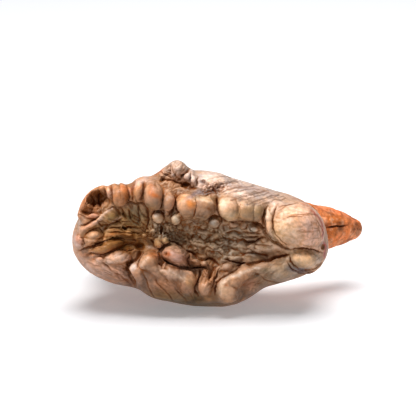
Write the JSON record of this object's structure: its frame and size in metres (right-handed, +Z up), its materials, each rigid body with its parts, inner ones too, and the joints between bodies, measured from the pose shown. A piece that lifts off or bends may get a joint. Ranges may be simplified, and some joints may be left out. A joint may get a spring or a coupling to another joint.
{
  "type": "fossil cheek tooth",
  "caption": "Fossil cave bear cheek tooth lying on its side, a long low crown with a wrinkled chewing basin between rows of cusps, and stout splayed roots behind.",
  "frame": {"origin": "centre of the bounding box's footprint, on the floor that the tooth lies on", "axes": "+X along the crown towards the end that the visible root leaves, +Y away from the chewing face towards the root tips, +Z up"},
  "size_m": [0.051, 0.0322, 0.0259],
  "materials": {
    "tooth": "satin"
  },
  "bodies": {
    "root": {"tooth": "tooth"}
  },
  "joints": []
}
